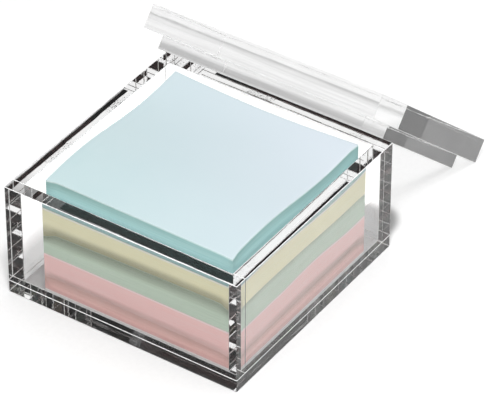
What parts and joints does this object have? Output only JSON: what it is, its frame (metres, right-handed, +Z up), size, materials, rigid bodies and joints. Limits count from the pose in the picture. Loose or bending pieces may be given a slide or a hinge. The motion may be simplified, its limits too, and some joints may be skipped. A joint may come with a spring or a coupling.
{
  "type": "memo box with lid",
  "caption": "Square clear acrylic memo box of bonded plates, holding a stack of pastel note pads, with its stepped lift-off lid leaning behind it.",
  "frame": {"origin": "centre of the box's underside, on the table", "axes": "+X along the front wall to the right, +Y back towards the leaning lid, +Z up"},
  "size_m": [0.0956, 0.1594, 0.0697],
  "materials": {
    "clear_acrylic": "polished",
    "coral_paper": "matte",
    "pink_paper": "matte",
    "green_paper": "matte",
    "yellow_paper": "matte",
    "blue_paper": "matte"
  },
  "bodies": {
    "box": {"base_plate": "clear_acrylic", "front_wall": "clear_acrylic", "back_wall": "clear_acrylic", "left_wall": "clear_acrylic", "right_wall": "clear_acrylic"},
    "lid": {"lid_cover": "clear_acrylic", "lid_locator": "clear_acrylic"},
    "coral_pad_body": {"coral_pad": "coral_paper"},
    "pink_pad_body": {"pink_pad": "pink_paper"},
    "green_pad_body": {"green_pad": "green_paper"},
    "yellow_pad_body": {"yellow_pad": "yellow_paper"},
    "blue_pad_body": {"blue_pad": "blue_paper"}
  },
  "joints": [
    {"name": "lid_lift", "type": "slide", "parent": "box", "child": "lid", "axis": [0, 0, 1], "range_m": [0, 0.08]},
    {"name": "lift_coral_pad", "type": "slide", "parent": "box", "child": "coral_pad_body", "axis": [0, 0, 1], "range_m": [0, 0.06]},
    {"name": "lift_pink_pad", "type": "slide", "parent": "coral_pad_body", "child": "pink_pad_body", "axis": [0, 0, 1], "range_m": [0, 0.06]},
    {"name": "lift_green_pad", "type": "slide", "parent": "pink_pad_body", "child": "green_pad_body", "axis": [0, 0, 1], "range_m": [0, 0.06]},
    {"name": "lift_yellow_pad", "type": "slide", "parent": "green_pad_body", "child": "yellow_pad_body", "axis": [0, 0, 1], "range_m": [0, 0.06]},
    {"name": "lift_blue_pad", "type": "slide", "parent": "yellow_pad_body", "child": "blue_pad_body", "axis": [0, 0, 1], "range_m": [0, 0.06]}
  ]
}
